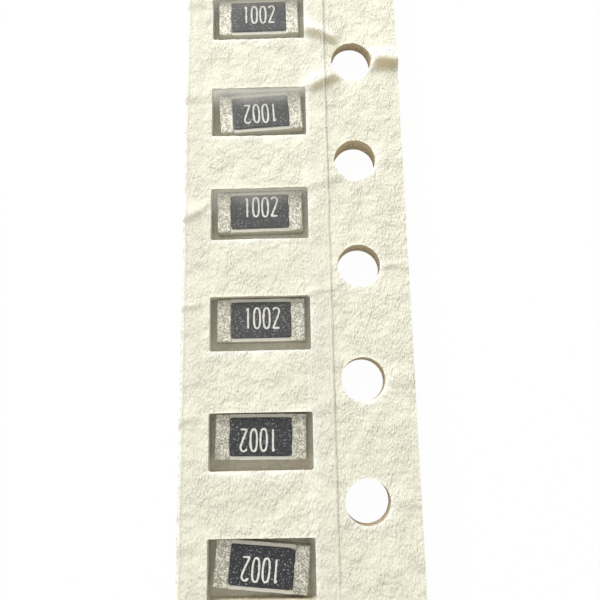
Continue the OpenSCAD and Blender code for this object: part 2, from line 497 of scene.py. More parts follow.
def punched_grid(tape):
    """Points and faces, seen from above, of the strip's outline with its cutouts left open.

    A grid's points that lie within half a cell of a cutout's outline are moved onto it. Quads
    keep all four points in the paper, and a quad with three becomes a triangle.
    """
    cell = mm(tape.mesh_cell)
    half_l = mm(tape.pocket_length) / 2
    half_w = mm(tape.pocket_width) / 2
    pocket_x = HOLE_X - mm(tape.hole_to_pocket)
    middles = (HOLE_Y[:-1] + HOLE_Y[1:]) / 2
    sides = np.sort(np.concatenate([middles - half_w, middles + half_w]))
    ends = [pocket_x - half_l, pocket_x + half_l]
    x_lines = lines_between([PAPER_LOW[0], *ends, PAPER_HIGH[0]], cell)
    y_lines = lines_between([PAPER_LOW[1], *sides, PAPER_HIGH[1]], cell)
    x, y = np.meshgrid(x_lines, y_lines)
    shape = x.shape

    def away(px, py):
        return cutout_distance(px, py, tape)

    distance = away(x, y)
    grow_x, grow_y = slope_of(away, x, y)
    near = np.abs(distance) < 0.5 * cell
    at_end = (np.abs(y) > PAPER_HIGH[1] - 1e-6) & near
    x = np.where(near, x - distance * np.where(at_end, np.sign(grow_x), grow_x), x)
    y = np.where(near & ~at_end, y - distance * grow_y, y)
    inside = (distance > 0) | near
    quads = grid_faces(*shape)
    kept = inside.ravel()[quads]
    on_line = near.ravel()[quads]
    whole = kept.all(axis=1) & ~on_line.all(axis=1)
    three = kept.sum(axis=1) == 3
    # A row of three is the quad turned so that its missing point comes last.
    missing = np.argmin(kept[three], axis=1)
    order = (missing[:, None] + np.array([1, 2, 3])) % 4
    thirds = np.take_along_axis(quads[three], order, axis=1)
    flat_x, flat_y = x.ravel(), y.ravel()
    middle_x = flat_x[thirds].mean(axis=1)
    middle_y = flat_y[thirds].mean(axis=1)
    thirds = thirds[away(middle_x, middle_y) > 0]
    quads = quads[whole]
    used = np.unique(np.concatenate([quads.ravel(), thirds.ravel()]))
    renumber = np.full(len(flat_x), -1)
    renumber[used] = np.arange(len(used))
    return flat_x[used], flat_y[used], renumber[quads], renumber[thirds]


def open_edges(faces):
    """Directed edges that only one face has, as pairs of points."""
    pairs = np.concatenate(
        [np.stack([f, np.roll(f, -1, axis=1)], axis=-1).reshape(-1, 2) for f in faces]
    ).astype(np.int64)
    span = int(pairs.max()) + 1
    forward = pairs[:, 0] * span + pairs[:, 1]
    backward = pairs[:, 1] * span + pairs[:, 0]
    return pairs[~np.isin(forward, backward)]


def highlight_share(x, y, away, tape):
    """How much painted highlight the upper face gets, from 0 to 1.

    The rims get a painted highlight, most on those that face the lamp, and it fades with the
    distance from them. The inner side of the rail by the holes gets a painted highlight. The
    folds' far slopes, which face the lamp, get a painted highlight.
    """
    rim_fade, rail_highlight_fade, rail_highlight_share = 0.15, 0.22, 0.7
    grow_x, grow_y = slope_of(away, x, y)
    rims = np.exp(-away(x, y) / rim_fade) * np.clip(0.6 - 0.4 * grow_y + 0.4 * grow_x, 0, 1)
    inside = x - rail_places(tape)[1] + mm(tape.rail_width) / 2
    rail_highlight = smooth_step(inside, -0.05, 0.03) * np.exp(-np.maximum(inside, 0) / rail_highlight_fade)
    rail_highlight *= rail_highlight_share
    return np.clip(np.maximum(rims, rail_highlight) + fold_slope_light(x, y, far_side=True), 0, 1)


def build_carrier(tape, material):
    """Punched board as one closed mesh.

    The upper face is the punched grid at the paper's height plus its relief. Walls go down from
    its open edges in rings: each ring lies at a share of the way to the underside and is set back
    into the board by a torn-fibre noise. The underside repeats the grid with part of the folds.
    """
    tear, deepest_tear = 0.006, 0.02
    slid = 0.2
    shares = (0.05, 0.16, 0.32, 0.5, 0.68, 0.84, 0.95)
    x, y, quads, thirds = punched_grid(tape)
    count = len(x)
    edges = open_edges([quads, thirds])
    rim = np.unique(edges)
    folds = fold_relief(x, y, mm(tape.fold_height))
    top = PAPER_HIGH[2] + face_relief(x, y, tape)
    under = PAPER_LOW[2] + FOLD_UNDER_PAPER * folds + 0.003 * ripple(x, y, 0.3, 8)

    def away(px, py):
        ends = np.minimum(PAPER_HIGH[0] - np.abs(px), PAPER_HIGH[1] - np.abs(py))
        return np.minimum(cutout_distance(px, py, tape), ends)

    grow_x, grow_y = slope_of(away, x[rim], y[rim])
    # The feed drags the rims: those that face the feed are pressed down and the others stand up.
    lean = 0.8 * grow_y - 0.5 * np.maximum(grow_x, 0) + 0.3 * ripple(x[rim], y[rim], 0.4, 9)
    top[rim] += mm(tape.rim_lean) * lean
    # Where the highest fold crosses its hole, the lower face has slid up the tape.
    near_fold = np.exp(-(((y - HOLE_Y[1] - 0.7) / 0.5) ** 2))
    slide = slid * near_fold * smooth_step(x, 1.2, 1.7)
    rings = []
    for k, share in enumerate(shares):
        level = top[rim] + (under[rim] - top[rim]) * share
        rough = ripple(x[rim] + level, y[rim] - level, 0.16, 20 + k // 2)
        back = np.clip(tear + tear * rough, 0, deepest_tear)
        ring_x = x[rim] + grow_x * back
        ring_y = y[rim] + grow_y * back + slide[rim] * share
        rings.append(as_points(ring_x, ring_y, level))
    place = np.full(count, -1)
    place[rim] = np.arange(len(rim))
    ladder = [place[edges] + 2 * count + k * len(rim) for k in range(len(shares))]
    ladder = [edges, *ladder, edges + count]
    walls = [
        np.stack([a[:, 0], b[:, 0], b[:, 1], a[:, 1]], axis=-1)
        for a, b in zip(ladder[:-1], ladder[1:])
    ]
    faces = [quads, thirds, quads[:, ::-1] + count, thirds[:, ::-1] + count, *walls]
    # A hole's walls are torn and show the brown cut core. A pocket's walls take part of that tone by
    # the side they face, as painted light and shade: the left walls lighter, the right walls darker
    # and the near and far ones between.
    torn = np.where(x[rim] > UNDER_HIGH[0], 1.0, 0.45 + 0.4 * grow_x)
    # Painted shade on the near slopes of the folds, carried down the walls below them.
    painted_fold_shade = np.clip(fold_slope_light(x, y, far_side=False) * rims_flat(x, y), 0, 1)
    blank = np.zeros(count)
    no_highlight = np.zeros(count + len(rim) * len(shares))
    # Marks for the material: painted fold shade, painted highlight, and the cut tone, which on a pocket's
    # walls is painted light and shade by the side they face.
    marks = {
        "cut": np.concatenate([blank, blank, np.tile(torn, len(shares))]),
        "painted_fold_shade": np.concatenate([painted_fold_shade, blank, np.tile(painted_fold_shade[rim], len(shares))]),
        "painted_highlight": np.concatenate([highlight_share(x, y, away, tape), no_highlight]),
    }
    points = [as_points(x, y, top), as_points(x, y + slide, under), *rings]
    points = np.concatenate(points)
    piece = add_piece("punched_carrier", points, faces, material, marks)
    dress(piece, "carrier_paper", "carrier_tape")


# ---- Bottom tape and cover film ----


def build_bottom(tape, material):
    """Thin paper under the pockets: a shell whose faces carry fibres, with a faint press mark
    along each pocket's outline and the folds wherever no pocket lies over it."""
    cell = 0.1
    # The two faces lie this far inside the solid, so that no fibre stands out of it.
    top_inset, under_inset = 0.004, 0.012
    press_depth, press_width = 0.009, 0.12
    x_lines = lines_between([UNDER_LOW[0], UNDER_HIGH[0]], cell)
    y_lines = lines_between([UNDER_LOW[1], UNDER_HIGH[1]], cell)

    def folds(x, y):
        clear = smooth_step(cutout_distance(x, y, tape), 0.05, 0.3)
        return clear * fold_relief(x, y, mm(tape.fold_height))

    def top(x, y):
        level = UNDER_HIGH[2] - top_inset + FOLD_ON_BOTTOM * folds(x, y)
        return level + 0.0015 * ripple(x, y, 0.4, 11)

    def under(x, y):
        press = press_depth * np.exp(-((cutout_distance(x, y, tape) / press_width) ** 2))
        level = UNDER_LOW[2] + under_inset + FOLD_UNDER_BOTTOM * folds(x, y)
        return level - press + 0.001 * ripple(x, y, 0.3, 12)

    points, faces = thin_shell(x_lines, y_lines, top, under)
    piece = add_piece("bottom_paper", points, faces, material)
    dress(piece, "bottom_tape", "bottom_tape")


def film_height(x, y, tape):
    """Underside of the film: it lies on the paper's relief and sags a little over a pocket,
    with short slanting pull marks all over it that are stronger over a pocket."""
    gap, sag, pull_height = 0.004, 0.02, 0.004
    distance = cutout_distance(x, y, tape)
    over = smooth_step(-distance, 0.0, 0.45)
    relief = face_relief(x, y, tape)
    calm = fold_relief(x, y, mm(tape.fold_height))
    resting = relief * (1 - over) + calm * over
    pulls = pull_height * ripple(x, y, 0.5, 15, lean=0.5, stretch=3) * (0.3 + over)
    return PAPER_HIGH[2] + gap + resting - sag * over + pulls


def film_whitening_and_glare(x, y, tape):
    """How white the film is drawn: a bell on the near side of each fold that whitens it, over a
    pocket only, which is partly real and partly painted glare, and an even whiteness that grows
    towards the far end, which is painted glare."""
    bell_width = 0.4
    over = smooth_step(-cutout_distance(x, y, tape), -0.02, 0.1) * (x < HOLE_X - HOLE_R)
    total = np.zeros(x.shape)
    for beyond, _, _, _, whitening_and_glare in folds_at(x, y):
        below = 0.05 * ripple(x, 0 * y, 1.5, 60) - beyond
        total += whitening_and_glare * np.exp(-((below / bell_width) ** 2))
    # Painted glare: an even whiteness that grows towards the far end.
    haze = np.interp(y, (-7, -2, 6), (0.0, 0.019, 0.027))
    return np.clip(total * over + haze, 0, 1)


def build_film(tape, material):
    """Clear film as a thin closed shell over the paper's relief, with rounded slit edges.

    Grid lines stand close together beside its two slit edges, where its marks change quickly.
    """
    cell = mm(tape.film_cell)
    left, right = FILM_LOW[0], FILM_HIGH[0]
    beside_left = left + np.array([0, 0.02, 0.05, 0.1])
    beside_right = right - np.array([0.14, 0.09, 0.05, 0.02, 0])
    x_lines = lines_between([*beside_left, *beside_right], cell)
    y_lines = lines_between([FILM_LOW[1], FILM_HIGH[1]], cell)
    thick = FILM_HIGH[2] - PAPER_HIGH[2] - 0.01
    edge_thin, edge_width = 0.55, 0.05

    def under(x, y):
        return film_height(x, y, tape)

    def top(x, y):
        inner = smooth_step(np.minimum(x - left, right - x), 0.0, edge_width)
        return under(x, y) + thick * (edge_thin + (1 - edge_thin) * np.sqrt(inner))

    points, faces = thin_shell(x_lines, y_lines, top, under)
    wander = 0.006 * ripple(points[:, 1], 0 * points[:, 1], 1.6, 16)
    from_left = points[:, 0] - left
    from_right = right - points[:, 0]
    points[:, 0] += wander
    # Light gathers in a line just inside each slit edge, and the left line lies closer to its edge.
    lit_place, lit_width, lit_nearer = 0.09, 0.04, 0.07
    lit = np.abs(np.minimum(from_right, from_left + lit_nearer) - lit_place) / lit_width
    # Marks for the material: milkiness along the rails, painted shade along the right slit edge, painted
    # highlight lines beside both edges, and whiteness that is partly real and partly painted glare.
    marks = {
        "rail": rail_share(points[:, 0], tape),
        "slit": np.clip(1 - from_right / edge_width, 0, 1),
        "lit_edge": np.clip(1 - lit, 0, 1),
        "milk_and_glare": film_whitening_and_glare(points[:, 0], points[:, 1], tape),
    }
    piece = add_piece("cover_film", points, faces, material, marks)
    dress(piece, "cover_film", "cover_tape")


# ---- Chips ----


def settle(points, number):
    """Turns a chip's points by its turn and moves them onto the bottom tape at its seat."""
    (x, y), turn = chip_seat(number)
    c, s = math.cos(turn), math.sin(turn)
    out = points.copy()
    out[:, 0] = points[:, 0] * c - points[:, 1] * s + x
    out[:, 1] = points[:, 0] * s + points[:, 1] * c + y
    out[:, 2] = points[:, 2] + UNDER_HIGH[2]
    return out


def build_plate(number, chip, material):
    """Ceramic plate: a section round the plate carried along the chip.

    The section is a rectangle with its lower edges bevelled by the scribed line. Its side faces
    are pushed in and out by a fracture noise that is strongest in their upper, snapped part.
    """
    bevel = 0.05
    chipped, deepest_chip = 0.006, 0.03
    half_w = mm(chip.chip_width) / 2
    half_l = mm(chip.chip_length) / 2 - mm(chip.plating)
    low = mm(chip.plating)
    high = low + mm(chip.plate_thickness)
    # The section's corners, in order round it, and the number of steps from each to the next.
    corner_y = np.array([-half_w + bevel, half_w - bevel, half_w, half_w, -half_w, -half_w])
    corner_z = np.array([low, low, low + bevel, high, high, low + bevel])
    steps = (6, 3, 7, 16, 7, 3)
    ring_y, ring_z = (
        np.concatenate(
            [
                np.linspace(a, b, n, endpoint=False)
                for a, b, n in zip(corner, np.roll(corner, -1), steps)
            ]
        )
        for corner in (corner_y, corner_z)
    )
    stations = np.linspace(-half_l, half_l, 90)
    x, y = np.meshgrid(stations, ring_y, indexing="ij")
    z = np.broadcast_to(ring_z, x.shape).copy()
    side = smooth_step(np.abs(y), half_w - 0.02, half_w)
    rough = 0.35 + 0.65 * smooth_step(z, low + 0.1, high)
    snap = ripple(x, z, 0.3, 100 + number) + 0.7 * ripple(x, z, 0.12, 130 + number)
    y = y - np.sign(y) * side * (chipped + chipped * rough * snap).clip(0, deepest_chip)
    z = z + 0.002 * ripple(x, y, 0.2, 160 + number) * (1 - side)
    rows, columns = x.shape
    points = settle(as_points(x, y, z), number)
    first = np.arange(columns)[None, ::-1]
    last = first[:, ::-1] + (rows - 1) * columns
    faces = [grid_faces(rows, columns, closed=True), first, last]
    piece = add_piece(f"chip_{number}_ceramic", points, faces, material)
    dress(piece, "alumina", f"chip_{number}_substrate")


def build_plating(number, end, chip, material):
    """One wrap-round termination: a C-shaped section carried across the chip.

    The section's outer line goes along the underside, round the end and back on top, and its
    inner line follows the plate. The gap between them thins to a rounded lip at the two free
    edges and at the plate's sides, and swells and dips with the plated grain.
    """
    lip_round, side_round = 0.045, 0.035
    # The metal at a lip keeps this share of its thickness, and grain stands out by no more than this.
    lip_share, grain_limit = 0.12, 0.004
    # The free edges on top and underneath wave by this much, and the wave fades over this reach.
    wave, wave_fade = 0.012, 0.3
    half_l = mm(chip.chip_length) / 2
    half_w = mm(chip.chip_width) / 2 - 0.004
    thick = mm(chip.plating)
    tall = mm(chip.plate_thickness) + 2 * thick
    radius = mm(chip.plating_round)
    quarter = np.linspace(0, math.pi / 2, 7)
    ease = (1 - np.cos(np.linspace(0, math.pi, 16))) / 2
    under_x = half_l - mm(chip.land_under) + (mm(chip.land_under) - radius) * ease
    over_x = half_l - radius - (mm(chip.land_top) - radius) * ease
    up_z = np.linspace(radius, tall - radius, 10)[1:-1]
    rise, run = radius * np.sin(quarter), radius * np.cos(quarter)
    outer_x = np.concatenate(
        [
            under_x[:-1],
            half_l - radius + rise,
            np.full(len(up_z), half_l),
            half_l - radius + run,
            over_x[1:],
        ]
    )
    outer_z = np.concatenate(
        [
            np.zeros(len(under_x) - 1),
            radius - run,
            up_z,
            tall - radius + rise,
            np.full(len(over_x) - 1, tall),
        ]
    )
    inner_x = np.minimum(outer_x, half_l - thick)
    inner_z = np.clip(outer_z, thick, tall - thick)
    reach = reach_along(outer_x, outer_z)
    across = half_w * np.sin(np.linspace(-math.pi / 2, math.pi / 2, 41))
    flow = reach[None, :]
    lane = across[:, None]
    thin = edge_round(np.minimum(flow, reach[-1] - flow), lip_round)
    side = edge_round(half_w - np.abs(lane), side_round)
    share = lip_share + (1 - lip_share) * thin * side
    seed = 200 + 2 * number + (end > 0)
    grain = 0.0035 * ripple(flow, lane, 0.16, seed) + 0.003 * ripple(flow, lane, 0.45, seed + 30)
    grain = np.minimum(grain, grain_limit)
    out_x, out_z = outer_x - inner_x, outer_z - inner_z
    size = np.maximum(np.hypot(out_x, out_z), 1e-6)
    edge_wave = wave * ripple(lane, 0 * lane, 0.5, seed + 60)
    pull = 1 - smooth_step(reach, 0, wave_fade)
    pull = edge_wave * (pull + smooth_step(reach, reach[-1] - wave_fade, reach[-1]))
    outer_x = inner_x + (out_x + out_x / size * grain) * share + pull
    outer_z = inner_z + (out_z + out_z / size * grain) * share
    inner_z = np.broadcast_to(inner_z, outer_z.shape)
    lanes = np.broadcast_to(lane, outer_z.shape)
    ring_x = np.concatenate([outer_x, (inner_x + pull)[:, ::-1]], axis=1) * end
    ring_y = np.concatenate([lanes, lanes], axis=1)
    ring_z = np.concatenate([outer_z, inner_z[:, ::-1]], axis=1)
    points = settle(as_points(ring_x, ring_y, ring_z), number)
    faces = tube_faces(*ring_x.shape)
    word = "left"
    if end > 0:
        faces = [f[:, ::-1] for f in faces]
        word = "right"
    piece = add_piece(f"chip_{number}_plating_{word}", points, faces, material)
    dress(piece, "tin_plating", f"chip_{number}_termination_{word}")


def coat_halves(chip):
    """Half the overcoat's length and half its width."""
    half_l = mm(chip.chip_length) / 2 - mm(chip.land_top)
    half_w = mm(chip.chip_width) / 2 - mm(chip.bare_edge)
    return half_l, half_w


def coat_height(x, y, chip):
    """Top of the overcoat over the bottom tape: a rounded shoulder at its edge and a crown that
    falls with the square of the distance from its middle line."""
    shoulder_round = 0.045
    half_l, half_w = coat_halves(chip)
    base = mm(chip.plating) + mm(chip.plate_thickness)
    shoulder = edge_round(np.minimum(half_l - np.abs(x), half_w - np.abs(y)), shoulder_round)
    crown = mm(chip.coat_crown) * (1 - np.clip(np.abs(y) / half_w, 0, 1) ** 2)
    return base + shoulder * (mm(chip.coat_edge) + crown)


def build_coat(number, chip, material):
    """Overcoat: rings that shrink from a slightly ragged rounded rectangle to its middle, at the
    height of the coat, closed below by the same outline on the plate.

    The outline is a superellipse of order 26, stretched to the coat's two sizes.
    """
    power = 2 / 26
    raggedness = 0.006 * 0.08 / mm(chip.coat_corner)
    # The coat's lowest ring lies just inside the plate, and its second one just over it.
    sunk, foot = 0.001, 0.004
    half_l, half_w = coat_halves(chip)
    base = mm(chip.plating) + mm(chip.plate_thickness)
    turn = np.linspace(0, 2 * math.pi, 240, endpoint=False)
    line_x = half_l * np.sign(np.cos(turn)) * np.abs(np.cos(turn)) ** power
    line_y = half_w * np.sign(np.sin(turn)) * np.abs(np.sin(turn)) ** power
    ragged = raggedness * ripple(line_x, line_y, 0.22, 300 + number)
    shares = np.array([1, 1, 0.985, 0.965, 0.94, 0.9, 0.82, 0.7, 0.5, 0.25])[:, None]
    x = line_x * (1 + ragged * half_w / half_l) * shares
    y = line_y * (1 + ragged) * shares
    z = coat_height(x, y, chip)
    z[0] = base - sunk
    z[1] = base + foot
    z[2:] += 0.0012 * ripple(x[2:], y[2:], 0.3, 320 + number)
    rows, columns = x.shape
    middle = coat_height(np.zeros(1), np.zeros(1), chip)[0]
    points = np.concatenate([as_points(x, y, z), [[0, 0, middle], [0, 0, base - sunk]]])
    ring = np.arange(columns)
    after = (ring + 1) % columns
    last = (rows - 1) * columns
    top_fan = np.stack([ring + last, after + last, 0 * ring + rows * columns], axis=-1)
    low_fan = np.stack([after, ring, 0 * ring + rows * columns + 1], axis=-1)
    faces = [grid_faces(rows, columns, closed=True), top_fan, low_fan]
    piece = add_piece(f"chip_{number}_overcoat_film", settle(points, number), faces, material)
    dress(piece, "overcoat", f"chip_{number}_overcoat")


def digit_lines(digit):
    """Centre line of a digit in a box from -0.5 to 0.5 in height, as one open or closed path.

    A 0 is a superellipse. A 1 and a 2 are straight strokes, with an arc at the top of the 2.
    """
    t = np.linspace(0, 1, 40)
    if digit == "0":
        cosine, sine = np.cos(2 * math.pi * t), np.sin(2 * math.pi * t)
        x = 0.15 * np.sign(cosine) * np.abs(cosine) ** 0.7
        return np.stack([x, 0.5 * np.sign(sine) * np.abs(sine) ** 0.85], axis=-1)
    if digit == "1":
        path = np.array([[-0.06, 0.4], [0.03, 0.5], [0.03, 0.0], [0.03, -0.5]])
    elif digit == "2":
        turn = np.linspace(math.radians(165), math.radians(-20), 12)
        arc = np.stack([0.15 * np.cos(turn), 0.33 + 0.17 * np.sin(turn)], axis=-1)
        path = np.concatenate([arc, [[0.07, 0.05], [-0.15, -0.5], [0.16, -0.5]]])
    else:
        raise ValueError(f"no strokes for digit {digit}")
    reach = reach_along(path[:, 0], path[:, 1])
    at = t * reach[-1]
    return np.stack([np.interp(at, reach, path[:, 0]), np.interp(at, reach, path[:, 1])], axis=-1)


# How far each chip's number is printed off the middle of its coat, along and across it, in mm.
PRINT_SHIFT = ((0, 0.08), (0, 0.07), (0.03, 0.16), (0.03, 0.06), (0.07, 0.11), (0.02, 0.1))


def build_marking(number, chip, material):
    """Printed number: each digit is a low domed bead of ink carried along the digit's line, laid
    on the overcoat's crown. The bead narrows at the two ends of its line."""
    # The bead's edges lie just under the coat's top, and its flat underside lies deeper.
    edge_sunk, base_sunk = 0.001, 0.004
    # The narrowest share of a stroke, at its end, and how far a digit may be printed off its line.
    stroke_end, jitter = 0.05, 0.01
    half = mm(chip.digit_stroke) / 2
    draw = np.random.default_rng(400 + number)
    bead = np.linspace(0, math.pi, 7)
    points, faces, start = [], [], 0
    for k, digit in enumerate(CHIP_NUMBER):
        path = digit_lines(digit) * mm(chip.digit_height)
        from_middle = k - (len(CHIP_NUMBER) - 1) / 2
        path[:, 0] += from_middle * mm(chip.digit_pitch) + PRINT_SHIFT[number - 1][0]
        path[:, 1] += PRINT_SHIFT[number - 1][1] + draw.uniform(-jitter, jitter)
        ahead = np.gradient(path, axis=0)
        ahead /= np.maximum(np.hypot(ahead[:, 0], ahead[:, 1]), 1e-9)[:, None]
        reach = reach_along(path[:, 0], path[:, 1])
        end = np.minimum(reach, reach[-1] - reach)
        wide = half * (1 + 0.1 * ripple(reach, 0 * reach, 0.25, 420 + 7 * number + k))
        if digit != "0":
            wide = wide * edge_round(np.maximum(end, stroke_end * half), half)
        side = np.cos(bead)[None, :] * wide[:, None]
        x = path[:, :1] - ahead[:, 1:] * side
        y = path[:, 1:] + ahead[:, :1] * side
        dome = mm(chip.ink_thickness) * np.sin(bead)[None, :] ** 0.5
        level = coat_height(x, y, chip)
        upper = np.stack([x, y, level + dome - edge_sunk], axis=-1)
        lower = np.stack([x, y, level - base_sunk], axis=-1)[:, ::-1]
        ring = np.concatenate([upper, lower], axis=1)
        rows, columns = ring.shape[:2]
        points.append(ring.reshape(-1, 3))
        faces += tube_faces(rows, columns, start)
        start += rows * columns
    points = settle(np.concatenate(points), number)
    piece = add_piece(f"chip_{number}_marking", points, faces, material)
    dress(piece, "overcoat")


# ---- Materials ----


def add_node(tree, kind, inputs=None, output=0, **settings):
    """Adds a node and gives one of its output sockets, by number or name.

    Settings are the node's own properties. inputs maps a socket's name or number to a value or to
    the output socket that drives it.
    """
    node = tree.nodes.new(kind)
    for name, value in settings.items():
        setattr(node, name, value)
    for name, value in (inputs or {}).items():
        if isinstance(value, bpy.types.NodeSocket):
            tree.links.new(value, node.inputs[name])
        else:
            node.inputs[name].default_value = value
    return node.outputs[output] if node.outputs else None


def new_material(name):
    """An empty node material, and add_node for its tree."""
    material = bpy.data.materials.new(name)
    material.use_nodes = True
    material.node_tree.nodes.clear()
    return material, partial(add_node, material.node_tree)


def shade(tone, factor):
    """A colour made darker by a factor."""
    return [part * factor for part in tone[:3]] + [1]


def cloudy(add, size, detail=2.0, roughness=0.5, stretch=(1, 1, 1), turn=0.0):
    """Cloudy pattern of about one feature per size millimetres, drawn out by stretch."""
    place = add("ShaderNodeTexCoord", output="Object")
    turned = {"Vector": place, "Rotation": (0, 0, turn), "Scale": [1 / s for s in stretch]}
    inputs = {"Scale": 1 / (size * MM), "Detail": detail, "Roughness": roughness}
    inputs["Vector"] = add("ShaderNodeMapping", turned)
    return add("ShaderNodeTexNoise", inputs, "Fac")


def above(add, low, high):
    """0 below a height of low millimetres and 1 above high, straight between them."""
    place = add("ShaderNodeTexCoord", output="Object")
    height = add("ShaderNodeSeparateXYZ", {"Vector": place}, "Z")
    return add("ShaderNodeMapRange", {0: height, 1: low * MM, 2: high * MM})


def mottled(add, pattern, low, high, tone, factor):
    """A tone that is darkened by factor where the pattern is low, and whole where it is high."""
    share = add("ShaderNodeMapRange", {0: pattern, 1: low, 2: high})
    return add("ShaderNodeMix", {0: share, 6: shade(tone, factor), 7: tone}, 2, data_type="RGBA")


def rough_surface(add, tone, relief, strength, depth, **surface):
    """Ends a material: a surface of this tone, whose relief is at most depth millimetres deep."""
    bump = {"Height": relief, "Strength": strength, "Distance": depth * MM}
    inputs = {"Base Color": tone, "Normal": add("ShaderNodeBump", bump), **surface}
    shader = add("ShaderNodeBsdfPrincipled", inputs)
    add("ShaderNodeOutputMaterial", {"Surface": shader})


def paperboard(finish):
    """Bleached paperboard: calendered on its faces, torn and brown where it is punched.

    Fibres are about 0.03 mm wide and 1 mm long. They are drawn 0.07 mm wide, so that they show,
    they lean both ways, and they stand out in patches of 0.9 mm. The sheet is a little cloudy
    every 0.45 mm.
    """
    material, add = new_material("bleached_paperboard")
    cut, painted_fold_shade, painted_highlight = (
        add("ShaderNodeAttribute", output="Fac", attribute_name=mark)
        for mark in ("cut", "painted_fold_shade", "painted_highlight")
    )
    left = cloudy(add, 0.075, detail=3, stretch=(1, 2.2, 1), turn=0.45)
    right = cloudy(add, 0.06, detail=3, stretch=(1, 1.8, 1), turn=-0.5)
    cloud = cloudy(add, 0.45, detail=3)
    patches = {0: cloudy(add, 0.9), 1: 0.35, 2: 0.65, 3: 0.5, 4: 1.1}
    patches = add("ShaderNodeMapRange", patches)
    strokes = add("ShaderNodeMath", {0: left, 1: right})
    relief = {0: strokes, 1: patches, 2: cloud}
    relief = add("ShaderNodeMath", relief, operation="MULTIPLY_ADD")
    tone = mottled(add, add("ShaderNodeMath", {0: strokes, 1: cloud}), 1.2, 1.75, finish.board, 0.9)
    # Painted shade on the folds' near slopes, and painted highlight on rims, beside the rail and on the
    # folds' far slopes.
    for share, marked in ((painted_fold_shade, finish.board_fold_shade), (painted_highlight, finish.board_highlight)):
        tone = add("ShaderNodeMix", {0: share, 6: tone, 7: marked}, 2, data_type="RGBA")
    torn = cloudy(add, 0.05, detail=4, stretch=(1, 1, 2.5))
    core = mottled(add, torn, 0.35, 0.65, finish.board_cut, 0.85)
    # Painted shade: the lower part of a wall is darker, more so where the wall has more cut tone.
    upper = above(add, PAPER_LOW[2], PAPER_HIGH[2] - 0.1)
    dark = add("ShaderNodeMapRange", {0: cut, 1: 0.5, 2: 0.9})
    dark = add("ShaderNodeMath", {0: dark, 1: upper}, operation="SUBTRACT", use_clamp=True)
    core = {0: dark, 6: core, 7: shade(finish.board_cut, 0.7)}
    core = add("ShaderNodeMix", core, 2, data_type="RGBA")
    tone = add("ShaderNodeMix", {0: cut, 6: tone, 7: core}, 2, data_type="RGBA")
    rough_surface(add, tone, relief, 1.0, 0.085, Roughness=0.85, IOR=1.45)
    return material


def kraft_tissue(finish):
    """Bottom tape: thin brown-grey kraft paper, rough and full of fibres, drawn 0.12 mm wide."""
    material, add = new_material("kraft_tissue")
    fibres = cloudy(add, 0.12, detail=4, stretch=(1.4, 1, 1), turn=0.3)
    tone = mottled(add, fibres, 0.35, 0.6, finish.under_paper, 0.86)
    rough_surface(add, tone, fibres, 0.5, 0.02, Roughness=0.9)
    return material


def polyester_film(finish):
    """Cover film: clear polyester with a faint, soft gloss. It is milky along its sealed rails, and
    partly milky where folds have whitened it over a pocket, where the rest is painted glare.
    Painted glare also grows towards the far end, painted highlight lines lie beside its edges,
    and painted shade lies at its right slit edge."""
    material, add = new_material("clear_polyester_film")
    rail, slit, lit, milk_and_glare = (
        add("ShaderNodeAttribute", output="Fac", attribute_name=mark)
        for mark in ("rail", "slit", "lit_edge", "milk_and_glare")
    )
    # Draw marks run along the film, about 0.05 mm apart.
    streaks = cloudy(add, 0.06, stretch=(1, 12, 1))
    bump = {"Height": streaks, "Strength": 0.2, "Distance": 0.004 * MM}
    gloss = {"Color": WHITE, "Roughness": 0.42, "Normal": add("ShaderNodeBump", bump)}
    gloss = add("ShaderNodeBsdfAnisotropic", gloss)
    clear = add("ShaderNodeBsdfTransparent", {"Color": WHITE})
    # Lamp light and light from the paper go straight through, as in a film that lies on it.
    shadow = add("ShaderNodeLightPath", output="Is Shadow Ray")
    diffuse = add("ShaderNodeLightPath", output="Is Diffuse Ray")
    passing = add("ShaderNodeMath", {0: shadow, 1: diffuse}, operation="MAXIMUM")
    stopped = add("ShaderNodeMath", {0: 1.0, 1: passing}, operation="SUBTRACT")
    # A film this thin and wavy never becomes a whole mirror, however low it is seen from.
    mirror = add("ShaderNodeFresnel", {"IOR": 1.12})
    mirror = add("ShaderNodeMath", {0: mirror, 1: 0.015}, operation="MINIMUM")
    mirror = add("ShaderNodeMath", {0: mirror, 1: stopped}, operation="MULTIPLY")
    film = add("ShaderNodeMixShader", {0: mirror, 1: clear, 2: gloss})
    tone = {0: slit, 6: finish.film_haze_and_highlight, 7: finish.film_edge_shade}
    haze = {"Color": add("ShaderNodeMix", tone, 2, data_type="RGBA")}
    haze = add("ShaderNodeBsdfDiffuse", haze)
    # The painted shade along the right slit edge is stronger in some places than in others.
    slit_shade_strength = {0: cloudy(add, 0.5), 1: 0.4, 2: 0.6, 3: 0.16, 4: 0.4}
    slit_shade_strength = add("ShaderNodeMapRange", slit_shade_strength)
    amount = milk_and_glare
    for mark, strength in ((rail, 0.05), (slit, slit_shade_strength), (lit, 0.5)):
        share = {0: mark, 1: strength, 2: amount}
        amount = add("ShaderNodeMath", share, operation="MULTIPLY_ADD")
    whole = add("ShaderNodeMixShader", {0: amount, 1: film, 2: haze})
    add("ShaderNodeOutputMaterial", {"Surface": whole})
    return material


